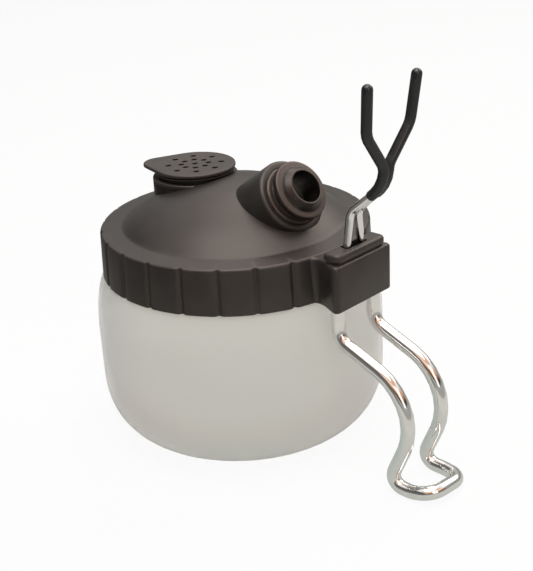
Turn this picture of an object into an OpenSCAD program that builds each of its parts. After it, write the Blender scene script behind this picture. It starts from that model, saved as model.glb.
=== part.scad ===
// Airbrush cleaning pot with a wire airbrush holder.
// A frosted glass jar is closed by a domed screw lid. The dome has a vent with a
// filter, and a tilted port with a rubber seat for the airbrush's nozzle. A bracket
// on the lid's collar carries a wire fork above and a wire rest loop below.
// Frame: origin at the centre of the jar's base, +Z up, +X towards the bracket.

/* [Jar] */
// Largest outside diameter of the jar
jar_d = 87; // [80:0.5:110]
// Diameter of the flat part of the base
base_d = 50; // [40:0.5:60]
// Height of the rounded heel
heel_h = 20.6; // [14:0.2:26]
// How square the heel's curve is (2 is an ellipse)
heel_power = 2.4; // [2:0.1:3]
// Height at which the straight wall ends
wall_top = 34; // [28:0.5:60]
// Height of the shoulder above the straight wall
shoulder_h = 16.6; // [12:0.2:22]
// Height of the neck above the shoulder
neck_h = 9.8; // [9:0.1:11]
// How far the neck stands in from the jar's side
neck_inset = 6.6; // [5:0.1:9]
// Thickness of the glass wall
glass_t = 3; // [2.5:0.1:3.6]
// Thickness of the glass floor
floor_t = 5; // [3:0.2:8]

/* [Screw thread] */
// Rise of the thread in one turn
pitch = 4; // [3.6:0.1:4.6]
// Height of a thread above its wall
thread_h = 1.15; // [0.8:0.05:1.3]
// Width of a thread at its root
thread_root_w = 2.2; // [1.8:0.1:2.4]
// Width of a thread at its crest
thread_crest_w = 1; // [0.6:0.1:1.2]
// Turns of thread on the jar
jar_turns = 1.25; // [1:0.05:1.3]
// Turns of thread in the collar
collar_turns = 1; // [0.8:0.05:1.1]

/* [Collar] */
// Thickness of the collar's wall at its bottom edge
collar_wall = 2.15; // [1.8:0.05:3]
// How much the collar narrows to its top, on the radius
collar_draft = 0.5; // [0:0.1:0.8]
// Width of the bevel round the collar's top edge
collar_bevel = 0.9; // [0.5:0.1:1.4]
// Thickness of the flat band between the collar and the dome
band_t = 1.8; // [1.4:0.1:2.6]
// Rise of the band's top face towards the dome
band_crown = 0.4; // [0:0.1:0.8]
// Width of the flat band inside the collar's wall
band_w = 4.8; // [4.2:0.1:5.4]
// Number of grip grooves that fit round a full collar
groove_count = 24; // [16:2:32]
// Radius of each groove's round cut
groove_r = 1.2; // [0.8:0.1:1.6]
// Depth of each groove
groove_depth = 0.65; // [0.3:0.05:0.9]
// Thickness of the sealing gasket
gasket_t = 2; // [1.4:0.1:2.6]

/* [Dome] */
// Rise of the dome above the inner edge of the band
dome_rise = 11.9; // [10:0.1:14]
// Thickness of the dome's wall
dome_wall = 2; // [1.6:0.1:2.6]
// Length of the spigot that reaches into the jar's neck
spigot_h = 3.6; // [2:0.2:6]
// Thickness of the spigot's wall
spigot_t = 1.8; // [1.4:0.1:2.4]

/* [Nozzle port] */
// Distance of the port's rim centre inside the dome's edge
port_inset = 9.8; // [8:0.1:12]
// Height of the port's rim centre above the collar's top edge
port_up = 11.95; // [10:0.1:15]
// Tilt of the port's axis above the horizontal
port_tilt = 35.3; // [30:0.1:45]
// Diameter of the port's bore
port_bore_d = 17.8; // [16:0.1:19]
// Thickness of the port's wall
port_wall = 1.95; // [1.2:0.05:2.2]
// Depth of the bore down to its ledge
port_depth = 8; // [6:0.1:9]
// Width of the ledge that stops the rubber seat
port_ledge = 1.8; // [1.2:0.1:2.4]
// Height of the rubber seat's shoulder above the port's rim
seat_up = 4.35; // [3.5:0.05:6]
// Diameter of the rubber seat's flange
seat_flange_d = 17.4; // [15:0.1:18.4]
// Thickness of the rubber seat's flange
seat_flange_t = 1.9; // [1.2:0.1:2.4]
// Height of the seat's nose above its shoulder
nose_h = 2.15; // [1:0.05:4]
// Diameter of the nose at its foot
nose_foot_d = 13.9; // [13:0.1:15.4]
// Diameter of the nose at its lip
nose_lip_d = 10.2; // [10:0.1:12]
// Diameter of the hole that takes the airbrush nozzle
nozzle_d = 9.46; // [8:0.02:9.8]

/* [Vent] */
// Distance of the vent's axis from the pot's axis
vent_x = 16; // [14:0.2:17]
// Height of the vent's rim above the collar's top edge
vent_up = 11.2; // [10.4:0.1:12]
// Outside diameter of the vent's wall
vent_d = 25.8; // [23:0.2:27]
// Diameter of the vent's bore
vent_bore_d = 21; // [19:0.2:21.4]
// Diameter of the cap's disc
cap_d = 24.7; // [22:0.1:25]
// Thickness of the cap's disc
cap_t = 1.1; // [1:0.05:2.4]
// Distance of the thumb tab's tip from the cap's centre
tab_reach = 16.4; // [15:0.1:18]
// Turn of the thumb tab from -X towards -Y
tab_turn = 26; // [0:1:90]
// Radius of the thumb tab's tip
tab_tip_r = 5; // [3:0.1:6]
// Thickness of the cap's lower flange
cap_flange_t = 0.4; // [0.3:0.05:0.8]
// Gap between the cap's disc and its lower flange
cap_groove_h = 0.35; // [0.3:0.05:0.8]
// Thickness of the vent's seal ring
seal_t = 1.05; // [0.6:0.05:1.4]
// Length of the cap's plug below the vent's rim
plug_h = 4.8; // [4:0.1:6]
// Wall of the cap's plug
plug_wall = 1.1; // [0.9:0.05:1.3]
// Diameter of each vent hole
vent_hole_d = 1.8; // [1.2:0.1:2.2]
// Radius of the inner ring of vent holes
hole_ring_1 = 4.12; // [3.6:0.02:4.6]
// Radius of the outer ring of vent holes
hole_ring_2 = 8; // [7.4:0.02:8]
// Vent holes in each ring
holes_per_ring = 8; // [6:1:9]
// Turn of the hole pattern about the vent's axis
hole_turn = 5; // [0:1:22]
// Wall of the filter basket
basket_wall = 0.8; // [0.6:0.05:1.2]

/* [Bracket] */
// Reach of the bracket's outer face beyond the collar's top
bracket_reach = 9.3; // [8:0.05:12]
// Width of the bracket where it leaves the collar
bracket_neck_w = 18.6; // [18:0.1:24]
// Width of the bracket across its outer face
bracket_face_w = 25.2; // [22:0.1:28]
// Radius of the fillets between the bracket and the collar
bracket_fillet_r = 2.3; // [2:0.1:5]
// Radius of the bracket's outer corners
bracket_corner_r = 1.5; // [1:0.1:2.5]
// Width of the cover plate
cover_w = 20.8; // [17:0.1:22]
// Depth of the cover plate towards the pot
cover_depth = 5.6; // [4.6:0.1:6]
// Thickness of the cover plate
cover_t = 2; // [1.4:0.1:3]
// Height of the shadow step under the cover plate
cover_step = 0.7; // [0.4:0.1:1]

/* [Fork] */
// Diameter of the fork's wire
fork_d = 2.3; // [2:0.02:2.6]
// Distance between the two wires at the bracket
fork_foot_w = 5.8; // [5.4:0.1:6]
// Depth of the fork's foot below the bracket's top face
fork_depth = 7.5; // [6:0.1:9]
// Reach of the upright stem beyond the fork's foot
fork_reach = 11.6; // [10:0.1:16]
// Height of the fork's knee above the bracket's top face
fork_knee_up = 12; // [9:0.1:14]
// Height of the fork's tips above the bracket's top face
fork_tip_up = 48.7; // [44:0.1:70]
// Distance between the two tips
fork_tip_w = 20; // [16:0.5:26]
// Outside diameter of the vinyl sleeves
sleeve_d = 2.95; // [2.8:0.05:3.4]
// How far the left stem stands nearer the pot than the right one
fork_skew = 0.8; // [0:0.1:1.5]
// Place of the sleeves' mouths, from 0 at the knee to 1 at the stem's foot
sleeve_mouth = 0.61; // [0.55:0.01:0.72]

/* [Rest loop] */
// Diameter of the loop's wire
loop_d = 4; // [3.6:0.1:4]
// Distance between the centres of the two legs
loop_w = 15.34; // [15:0.02:16]
// Reach of the loop's bow beyond its sockets
loop_reach = 23.6; // [18:0.2:30]
// Reach of the loop's toe beyond its sockets
loop_toe = 31.6; // [28:0.2:40]
// Drop from the bracket to the loop's first bend
loop_drop = 9.8; // [8:0.1:14]
// Fall of the loop between its first and second bends
loop_fall = 9.4; // [6:0.1:12]
// How much lower and narrower the toe is on its left side
toe_twist = 1.4; // [0:0.1:1.6]
// Depth of the sockets that hold the legs
leg_socket_h = 10.5; // [8:0.1:11]

/* [Hidden] */

// Clearances
face_gap = 0.2;       // between flat faces of pieces that move past each other
side_gap = 0.3;       // beside pieces that move past each other
fit_gap = 0.08;       // round pieces that are pushed into bores
sleeve_gap = 0.08;    // inside and between the vinyl sleeves
thread_gap = 0.35;    // between a thread's crest and the wall opposite
cut = 1;              // how far a cut runs past the face it opens

// Jar
jar_r = jar_d / 2;
neck_z = wall_top + shoulder_h;
rim_z = neck_z + neck_h;
neck_r = jar_r - neck_inset;
neck_bore_r = neck_r - glass_t;
shoulder_r = neck_r + 2.7;
neck_fillet_r = 0.6;
rim_round_r = 0.8;
curve_steps = 18;

// Lid stack, from the jar's rim upwards
gasket_z = rim_z + face_gap;
band_z = gasket_z + gasket_t + face_gap;
top_z = band_z + band_t;
collar_z = neck_z + 0.5;
collar_in_r = neck_r + thread_h + thread_gap;
collar_bottom_r = collar_in_r + collar_wall;
collar_top_r = collar_bottom_r - collar_draft;
dome_edge_r = collar_in_r - band_w;
gasket_r = collar_in_r - thread_h - side_gap;
spigot_r = neck_bore_r - side_gap;
cavity_r = spigot_r - spigot_t;

// Threads: the jar's starts just above the shoulder, the collar's half a pitch on
jar_thread_z = neck_z + 1.7;
thread_sink = 0.5;
thread_fade = 20;
thread_step = 7.5;

// Dome: a ball cap through the band's inner edge
dome_edge_z = top_z + band_crown;
dome_r = (dome_edge_r * dome_edge_r + dome_rise * dome_rise) / (2 * dome_rise);
dome_centre_z = dome_edge_z + dome_rise - dome_r;

// Port
port_x = dome_edge_r - port_inset;
port_z = top_z + port_up;
port_bore_r = port_bore_d / 2;
port_r = port_bore_r + port_wall;
port_rim_r = 0.9;
port_floor_t = 1.2;     // plastic below the ledge
wall_reach = 20;        // length of the port's wall before the dome's inside is cut away
seat_waist = 1.9;       // how far the seat's waist stands in from its body
seat_wall = 1.8;
seat_roof_t = 1;

// Vent
vent_z = top_z + vent_up;
vent_bore_r = vent_bore_d / 2;
plug_r = vent_bore_r - fit_gap;
plug_in_r = plug_r - plug_wall;
seal_z = vent_z + 0.05;
cap_flange_z = seal_z + seal_t + 0.05;
cap_z = cap_flange_z + cap_flange_t + cap_groove_h;
cap_flange_r = cap_d / 2 - 0.3;
cap_groove_r = plug_r + 0.6;
basket_r = plug_in_r - fit_gap;
basket_z = vent_z - plug_h + 0.4;
basket_floor_t = 1;
vent_reach = 10;        // length of the vent's wall before the dome's inside is cut away
vent_clear = 0.6;       // how far the vent's wall reaches below the cap's plug
recess_gap = 0.45;      // round the cap where it stands in the dome
recess_h = 6;

// Bracket
face_x = collar_top_r + bracket_reach;
leg_x = collar_top_r + 5.8;
fork_x = collar_top_r + 5.5;
bracket_top = top_z - 0.1;
slot_w = fork_d + 2 * side_gap;
slot_l = fork_foot_w + fork_d + 2 * side_gap;
slot_z = bracket_top - fork_depth - fork_d / 2 - face_gap;
cover_x = face_x - 0.6;
peg_r = 1.2;
peg_h = 1.8;
peg_y = loop_w / 2 - 0.3;

$fn = 96;

// ---- Shared shapes ----

function unit(v) = v / norm(v);

// Points along an arc, from angle a to angle b
function arc(centre, r, a, b, steps) =
    [for (i = [0 : steps]) centre + r * [cos(a + (b - a) * i / steps), sin(a + (b - a) * i / steps)]];

// Points of a round bend of radius r at corner b, between a and c
function bend(a, b, c, r) =
    let (u = unit(a - b))
    let (v = unit(c - b))
    let (half = acos(u * v) / 2)
    let (centre = b + unit(u + v) * r / sin(half))
    let (p = b + u * r / tan(half) - centre)
    let (q = b + v * r / tan(half) - centre)
    let (turn = 180 - 2 * half)
    let (steps = max(2, ceil(turn / 12)))
    [for (i = [0 : steps]) centre + (p * sin(turn * (1 - i / steps)) + q * sin(turn * i / steps)) / sin(turn)];

// Centreline of a wire through corners that are each [point, bend radius]
function wire_path(c) =
    [c[0][0], for (i = [1 : len(c) - 2]) each bend(c[i - 1][0], c[i][0], c[i + 1][0], c[i][1]), c[len(c) - 1][0]];

function tangents(p) =
    [for (i = [0 : len(p) - 1]) unit(p[min(i + 1, len(p) - 1)] - p[max(i - 1, 0)])];

// Sideways directions carried along the tangents t without twisting
function sideways(t, first) =
    [for (i = 0, n = first; i < len(t);
        n = i + 1 < len(t) ? unit(n - (n * t[i + 1]) * t[i + 1]) : n, i = i + 1) n];

function ring(centre, t, n, r, sides) =
    [for (k = [0 : sides - 1]) centre + r * (cos(360 * k / sides) * n + sin(360 * k / sides) * cross(t, n))];

// A closed solid through a row of rings that have the same number of points
module loft(rings) {
    n = len(rings[0]);
    last = (len(rings) - 1) * n;
    sides = [for (i = [0 : len(rings) - 2], k = [0 : n - 1])
        [i * n + k, (i + 1) * n + k, (i + 1) * n + (k + 1) % n, i * n + (k + 1) % n]];
    start = [for (k = [0 : n - 1]) k];
    end = [for (k = [n - 1 : -1 : 0]) last + k];
    polyhedron(points = [for (r = rings) each r], faces = concat([start], sides, [end]));
}

// Round wire of radius r along a path
module wire(path, r, first, sides) {
    t = tangents(path);
    n = sideways(t, first);
    loft([for (i = [0 : len(path) - 1]) ring(path[i], t[i], n[i], r, sides)]);
}

// Screw thread on a wall of radius wall_r, reaching to crest_r
module thread(wall_r, crest_r, z, start, turns) {
    away = sign(crest_r - wall_r);
    root_r = wall_r - away * thread_sink;
    steps = round(360 * turns / thread_step);
    loft([for (i = [0 : steps])
        let (turn = 360 * turns * i / steps)
        let (fade = min(1, turn / thread_fade, (360 * turns - turn) / thread_fade))
        let (tip_r = wall_r + (crest_r - wall_r) * max(0.1, fade))
        let (h = z + pitch * turn / 360)
        let (outline = away > 0
            ? [[root_r, -thread_root_w], [root_r, thread_root_w], [tip_r, thread_crest_w], [tip_r, -thread_crest_w]]
            : [[tip_r, -thread_crest_w], [tip_r, thread_crest_w], [root_r, thread_root_w], [root_r, -thread_root_w]])
        [for (p = outline) [p[0] * cos(start + turn), p[0] * sin(start + turn), h + p[1] / 2]]]);
}

// Places its children with their Z axis on the port's axis, at the rim's centre
module at_port() {
    translate([port_x, 0, port_z])
        rotate([0, 90 - port_tilt, 0])
            children();
}

module at_vent(z) {
    translate([-vent_x, 0, z])
        children();
}

module tube(r, hole_r, z, h) {
    translate([0, 0, z])
        difference() {
            cylinder(r = r, h = h);
            translate([0, 0, -cut])
                cylinder(r = hole_r, h = h + 2 * cut);
        }
}

// ---- Jar ----

// Radius of a superellipse quarter from low (t = 0) to high (t = 1)
function heel_radius(low, high, t) = low + (high - low) * pow(1 - pow(1 - t, heel_power), 1 / heel_power);
function shoulder_radius(low, high, t) = low + (high - low) * sqrt(1 - t * t);

module glass_jar() {
    inner_r = jar_r - glass_t;
    inner_floor_r = base_d / 2 - glass_t;
    inner_neck_z = neck_z - 1;
    color([0.85, 0.84, 0.82, 0.6])
        union() {
            rotate_extrude()
                polygon(concat(
                    [[0, 0]],
                    [for (i = [0 : curve_steps]) let (t = pow(i / curve_steps, 2))
                        [heel_radius(base_d / 2, jar_r, t), heel_h * t]],
                    [for (i = [0 : curve_steps]) let (t = sin(90 * i / curve_steps))
                        [shoulder_radius(shoulder_r, jar_r, t), wall_top + shoulder_h * t]],
                    arc([neck_r + neck_fillet_r, neck_z + neck_fillet_r], neck_fillet_r, 270, 180, 3),
                    arc([neck_r - rim_round_r, rim_z - rim_round_r], rim_round_r, 0, 90, 4),
                    arc([neck_bore_r + rim_round_r, rim_z - rim_round_r], rim_round_r, 90, 180, 4),
                    [for (i = [curve_steps : -1 : 0]) let (t = sin(90 * i / curve_steps))
                        [shoulder_radius(neck_bore_r, inner_r, t), wall_top + (inner_neck_z - wall_top) * t]],
                    [for (i = [curve_steps : -1 : 0]) let (t = pow(i / curve_steps, 2))
                        [heel_radius(inner_floor_r, inner_r, t), floor_t + (heel_h - floor_t) * t]],
                    [[0, floor_t]]));
            thread(neck_r, neck_r + thread_h, jar_thread_z, 0, jar_turns);
        }
}

module jar_gasket() {
    color([0.12, 0.12, 0.12])
        tube(gasket_r, spigot_r + side_gap, gasket_z, gasket_t);
}

// ---- Bracket ----

// One side of the bracket's outline, from the collar out to the face
function bracket_side() =
    let (half_neck = bracket_neck_w / 2)
    let (fillet_y = half_neck + bracket_fillet_r)
    let (reach = collar_top_r + bracket_fillet_r)
    let (fillet_x = sqrt(reach * reach - fillet_y * fillet_y))
    let (toward = atan2(-fillet_y, -fillet_x))
    let (corner = [face_x - bracket_corner_r, bracket_face_w / 2 - bracket_corner_r])
    concat(
        [[dome_edge_r, 0], [dome_edge_r, fillet_y]],
        arc([fillet_x, fillet_y], bracket_fillet_r, toward + 360, 270, 6),
        arc(corner, bracket_corner_r, 106, 0, 6),
        [[face_x, 0]]);

module bracket_block() {
    h = bracket_top - collar_z;
    translate([0, 0, collar_z])
        linear_extrude(h)
            for (side = [0, 1])
                mirror([0, side, 0])
                    polygon(bracket_side());
}

module bracket_sockets() {
    for (side = [-1, 1]) {
        translate([leg_x, side * loop_w / 2, collar_z - cut])
            cylinder(r = loop_d / 2 + fit_gap, h = leg_socket_h + cut);
        translate([leg_x, side * peg_y, bracket_top - peg_h - face_gap])
            cylinder(r = peg_r + fit_gap, h = peg_h + face_gap + cut);
    }
    translate([fork_x - slot_w / 2, -slot_l / 2, slot_z])
        cube([slot_w, slot_l, bracket_top - slot_z + cut]);
}

module cover_outline(inset) {
    half = cover_w / 2 - inset;
    outer = cover_x - inset;
    inner = cover_x - cover_depth + inset;
    r = 2 - inset;
    polygon(concat(
        arc([outer - r, half - r], r, 0, 90, 6),
        arc([inner + 1, half - 1], 1, 90, 180, 4),
        arc([inner + 1, 1 - half], 1, 180, 270, 4),
        arc([outer - r, r - half], r, 270, 360, 6)));
}

module bracket_cover() {
    color([0.3, 0.27, 0.26])
        difference() {
            union() {
                translate([0, 0, bracket_top])
                    linear_extrude(cover_step)
                        cover_outline(0.5);
                translate([0, 0, bracket_top + cover_step])
                    linear_extrude(cover_t)
                        cover_outline(0);
                for (side = [-1, 1])
                    translate([leg_x, side * peg_y, bracket_top - peg_h])
                        cylinder(r = peg_r, h = peg_h);
            }
            translate([fork_x - slot_w / 2, -slot_l / 2, bracket_top - cut])
                cube([slot_w, slot_l, cover_step + cover_t + 2 * cut]);
        }
}

// ---- Rest loop ----

// One side of the loop, from the socket to the toe: each [point, bend radius]
function loop_side(side) =
    let (y = side * loop_w / 2)
    let (bow_x = leg_x + loop_reach)
    let (ground = loop_d / 2)
    let (twist = side > 0 ? toe_twist : 0)
    [[[leg_x, y, collar_z + leg_socket_h - face_gap], 0],
     [[leg_x, y, collar_z - loop_drop], 5],
     [[bow_x, y, collar_z - loop_drop - loop_fall], 15],
     [[bow_x, y, ground + 15], 15],
     [[bow_x - 6.5, y, ground], 3.5],
     [[bow_x + 1.5, y, ground], 8],
     [[leg_x + loop_toe, y - twist, ground + 1.8 - twist], 4.5]];

module rest_loop() {
    left = loop_side(1);
    right = loop_side(-1);
    color([0.8, 0.78, 0.76])
        wire(wire_path(concat(left, [for (i = [len(right) - 1 : -1 : 0]) right[i]])), loop_d / 2, [1, 0, 0], 16);
}

// ---- Fork ----

// One side of the fork above its foot: each [point, bend radius]
function fork_side(side) =
    let (stem_x = fork_x + fork_reach)
    let (near_x = stem_x - (side > 0 ? fork_skew : 0))
    let (stem_y = side * (sleeve_d / 2 + sleeve_gap))
    [[[fork_x, side * fork_foot_w / 2, bracket_top - fork_depth], 1.8],
     [[fork_x, side * fork_foot_w / 2, bracket_top + 2.5], 8],
     [[fork_x + 0.3, side * 1.6, bracket_top + fork_knee_up], 4],
     [[near_x - 0.2, stem_y, bracket_top + 21.6], 9],
     [[near_x + 0.1, stem_y, bracket_top + 26.6], 3.5],
     [[stem_x + 0.5, side * 9, bracket_top + 36.4], 5],
     [[stem_x + 1.8, side * fork_tip_w / 2, bracket_top + fork_tip_up], 0]];

module fork_wire() {
    left = fork_side(1);
    right = fork_side(-1);
    color([0.8, 0.78, 0.76])
        wire(wire_path(concat([for (i = [len(right) - 1 : -1 : 0]) right[i]], left)), fork_d / 2, [1, 0, 0], 12);
}

// Vinyl sleeve over one prong: inner skin down to the mouth, outer skin up to a round tip
module fork_sleeve(side) {
    c = fork_side(side);
    knee = c[2][0];
    stem = c[3][0];
    mouth = knee + (stem - knee) * sleeve_mouth;
    path = wire_path(concat([[mouth, 0]], [for (i = [3 : len(c) - 1]) c[i]]));
    t = tangents(path);
    n = sideways(t, [0, 1, 0]);
    last = len(path) - 1;
    hole_r = fork_d / 2 + sleeve_gap;
    skin_r = sleeve_d / 2;
    color([0.1, 0.1, 0.1])
        loft(concat(
            [ring(path[last] + t[last] * 0.1, t[last], n[last], hole_r, 12)],
            [for (i = [last - 1 : -1 : 0]) ring(path[i], t[i], n[i], hole_r, 12)],
            [for (i = [0 : last]) ring(path[i], t[i], n[i], skin_r, 12)],
            [for (a = [20 : 20 : 80])
                ring(path[last] + t[last] * skin_r * sin(a), t[last], n[last], skin_r * cos(a), 12)]));
}

module fork_sleeve_left() {
    fork_sleeve(1);
}

module fork_sleeve_right() {
    fork_sleeve(-1);
}

// ---- Lid ----

// Outside of the port, reaching depth below its rim
module port_boss(depth) {
    rotate_extrude()
        polygon(concat(
            [[0, -depth], [port_r, -depth]],
            arc([port_r - port_rim_r, -port_rim_r], port_rim_r, 0, 90, 6),
            [[0, 0]]));
}

// The lid's outside as one solid: collar, band, dome, port, vent wall and bracket
module lid_outside() {
    rotate_extrude()
        polygon([[0, collar_z], [collar_bottom_r, collar_z],
            [collar_top_r, top_z - collar_bevel], [collar_top_r - collar_bevel, top_z],
            [dome_edge_r, dome_edge_z], [0, dome_edge_z]]);
    intersection() {
        translate([0, 0, dome_centre_z])
            sphere(r = dome_r);
        translate([0, 0, top_z])
            cylinder(r = dome_edge_r, h = dome_r);
    }
    at_port()
        port_boss(wall_reach);
    at_vent(vent_z - vent_reach)
        cylinder(r = vent_d / 2, h = vent_reach);
    bracket_block();
}

// The space inside the lid, round the spigot that reaches into the jar's neck
module lid_inside() {
    spigot_z = rim_z - spigot_h;
    difference() {
        translate([0, 0, collar_z - cut])
            cylinder(r = collar_in_r, h = band_z - collar_z + cut);
        tube(spigot_r, cavity_r, spigot_z, band_z - spigot_z + cut);
    }
    intersection() {
        translate([0, 0, dome_centre_z])
            sphere(r = dome_r - dome_wall);
        translate([0, 0, spigot_z])
            cylinder(r = cavity_r, h = dome_r);
    }
}

module grip_grooves() {
    for (i = [0 : groove_count - 1])
        let (angle = (i + 0.5) * 360 / groove_count)
            if (cos(angle) < 0.95)
                rotate([0, 0, angle])
                    translate([collar_bottom_r + groove_r - groove_depth, 0, collar_z - cut])
                        cylinder(r = groove_r, h = top_z - collar_z + 2 * cut, $fn = 24);
}

module screw_lid() {
    color([0.3, 0.27, 0.26])
        difference() {
            union() {
                difference() {
                    lid_outside();
                    lid_inside();
                    grip_grooves();
                    bracket_sockets();
                }
                thread(collar_in_r, collar_in_r - thread_h, jar_thread_z + pitch / 2, 0, collar_turns);
                at_port()
                    port_boss(port_depth + port_floor_t);
                at_vent(vent_z - plug_h - vent_clear)
                    cylinder(r = vent_d / 2, h = plug_h + vent_clear);
            }
            at_port()
                translate([0, 0, -port_depth])
                    cylinder(r = port_bore_r, h = port_depth + cut);
            at_port()
                translate([0, 0, -port_depth - 2 * cut])
                    cylinder(r = port_bore_r - port_ledge, h = port_depth);
            at_vent(vent_z - vent_reach - cut)
                cylinder(r = vent_bore_r, h = vent_reach + 2 * cut);
            at_vent(vent_z)
                cylinder(r = cap_d / 2 + recess_gap, h = recess_h);
        }
}

// ---- Nozzle seat ----

module nozzle_seat() {
    body_r = port_bore_r - fit_gap;
    waist_r = body_r - seat_waist;
    hollow_r = body_r - seat_wall;
    color([0.16, 0.13, 0.12])
        at_port()
            rotate_extrude()
                polygon([[nozzle_d / 2, -seat_roof_t], [hollow_r, -seat_wall], [hollow_r, face_gap - port_depth],
                    [body_r, face_gap - port_depth], [body_r, -0.3], [waist_r, 0.3],
                    [waist_r, seat_up - seat_flange_t], [seat_flange_d / 2 - 0.2, seat_up - seat_flange_t],
                    [seat_flange_d / 2, seat_up - seat_flange_t + 0.2], [seat_flange_d / 2, seat_up - 0.4],
                    [seat_flange_d / 2 - 0.4, seat_up], [nose_foot_d / 2, seat_up],
                    [nose_lip_d / 2, seat_up + nose_h], [nozzle_d / 2, seat_up + nose_h]]);
}

// ---- Vent ----

// Disc with a round thumb tab: two arcs joined by their common tangents, as one outline
module cap_outline() {
    r = cap_d / 2;
    tip = tab_reach - tab_tip_r;
    lean = acos((r - tab_tip_r) / tip);
    rotate(tab_turn)
        polygon(concat(
            arc([0, 0], r, lean - 180, 180 - lean, 80),
            arc([-tip, 0], tab_tip_r, 180 - lean, 180 + lean, 16)));
}

module vent_cap() {
    color([0.36, 0.33, 0.31])
        difference() {
            union() {
                at_vent(cap_z)
                    linear_extrude(cap_t)
                        cap_outline();
                at_vent(cap_flange_z)
                    cylinder(r = cap_groove_r, h = cap_z - cap_flange_z);
                at_vent(cap_flange_z)
                    cylinder(r = cap_flange_r, h = cap_flange_t);
                at_vent(vent_z - plug_h)
                    cylinder(r = plug_r, h = cap_z - vent_z + plug_h);
            }
            at_vent(vent_z - plug_h - cut)
                cylinder(r = plug_in_r, h = cap_z - vent_z + plug_h + cut);
            at_vent(cap_z - cut)
                vent_holes();
        }
}

module vent_holes() {
    cylinder(d = vent_hole_d, h = cap_t + 2 * cut, $fn = 24);
    for (r = [hole_ring_1, hole_ring_2], i = [0 : holes_per_ring - 1])
        rotate([0, 0, hole_turn + i * 360 / holes_per_ring])
            translate([r, 0, 0])
                cylinder(d = vent_hole_d, h = cap_t + 2 * cut, $fn = 24);
}

module vent_seal() {
    color([0.08, 0.08, 0.08])
        at_vent(0)
            tube(cap_groove_r, plug_r + 0.05, seal_z, seal_t);
}

module filter_basket() {
    h = cap_z - face_gap - basket_z;
    color([0.3, 0.28, 0.27])
        at_vent(basket_z)
            difference() {
                cylinder(r = basket_r, h = h);
                translate([0, 0, basket_floor_t])
                    cylinder(r = basket_r - basket_wall, h = h);
                translate([0, 0, -cut])
                    for (r = [0, hole_ring_1, hole_ring_2 - 1.4], i = [0 : r > 0 ? holes_per_ring - 1 : 0])
                        rotate([0, 0, i * 360 / holes_per_ring])
                            translate([r, 0, 0])
                                cylinder(d = vent_hole_d, h = basket_floor_t + 2 * cut, $fn = 24);
            }
}

module vent_filter() {
    r = basket_r - basket_wall - 0.1;
    color([0.9, 0.88, 0.82])
        at_vent(basket_z + basket_floor_t)
            cylinder(r = r, h = cap_z - face_gap - basket_z - basket_floor_t - 0.2);
}

glass_jar();
jar_gasket();
screw_lid();
bracket_cover();
rest_loop();
fork_wire();
fork_sleeve_left();
fork_sleeve_right();
nozzle_seat();
vent_cap();
vent_seal();
filter_basket();
vent_filter();
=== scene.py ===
# %% [markdown]
# # Airbrush cleaning pot with a wire holder
#
# This notebook dresses a packed CAD model of a cleaning pot: a frosted glass jar with a
# domed plastic lid, a rubber nozzle port, a perforated vent, and two chromed wires that
# hold an airbrush. The packed model fixes every size and joint. Blender adds soft edges,
# true curves and finishes. It works in metres and in the same frame as the CAD model:
# the origin is at the centre of the jar's base, +Z is up and +X points at the bracket.

# %% Load the packed model
import math

import bmesh
import bpy
from mathutils import Matrix, Vector


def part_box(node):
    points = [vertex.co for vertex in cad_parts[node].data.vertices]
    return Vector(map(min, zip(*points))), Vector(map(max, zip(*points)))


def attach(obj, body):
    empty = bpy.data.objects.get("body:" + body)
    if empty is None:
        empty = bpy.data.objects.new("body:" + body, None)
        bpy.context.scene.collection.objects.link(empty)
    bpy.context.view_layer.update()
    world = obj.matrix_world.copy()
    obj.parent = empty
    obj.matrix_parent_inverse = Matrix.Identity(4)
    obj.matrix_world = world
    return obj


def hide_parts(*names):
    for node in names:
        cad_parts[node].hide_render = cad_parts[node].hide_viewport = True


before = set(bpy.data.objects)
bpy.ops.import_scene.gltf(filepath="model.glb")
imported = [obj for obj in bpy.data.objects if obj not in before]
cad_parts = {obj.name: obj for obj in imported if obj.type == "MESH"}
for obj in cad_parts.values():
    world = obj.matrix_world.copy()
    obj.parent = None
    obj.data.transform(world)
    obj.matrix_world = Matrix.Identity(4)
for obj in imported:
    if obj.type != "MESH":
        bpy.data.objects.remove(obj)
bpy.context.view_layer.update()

# %% [markdown]
# ## Sizes
#
# Sizes are in millimetres, as a maker would read them off a drawing, and every helper
# multiplies by MM once. Heights that the CAD model already fixes are read from its boxes.

# %% Sizes shared by several pieces
MM = 0.001


def lowest(node):
    """The lowest corner of a CAD node, in millimetres."""
    return Vector(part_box(node)[0]) / MM


def highest(node):
    """The highest corner of a CAD node, in millimetres."""
    return Vector(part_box(node)[1]) / MM


jar_r = highest("glass_jar").y
rim_z = highest("glass_jar").z
neck_h = 9.8
neck_z = rim_z - neck_h
collar_z = lowest("screw_lid").z
collar_above_rim = 4.2
top_z = rim_z + collar_above_rim
collar_in_r = 38.4
collar_bottom_r = 40.55
collar_top_r = 40.05
dome_edge_r = 33.6
dome_edge_z = top_z + 0.4
dome_rise = 11.9
dome_r = (dome_edge_r ** 2 + dome_rise ** 2) / (2 * dome_rise)
dome_centre_z = dome_edge_z + dome_rise - dome_r
bracket_top = top_z - 0.1
bracket_reach = 9.3
face_x = collar_top_r + bracket_reach
port_tilt = math.radians(35.3)
port_x = 23.8
port_rise = 11.95
port_centre = Vector((port_x, 0, top_z + port_rise))
vent_x = -16.0
vent_rise = 11.2
vent_z = top_z + vent_rise
print(f"jar {2 * jar_r:.1f} across, rim at {rim_z:.1f}, lid's top edge at {top_z:.1f} mm")

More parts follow.
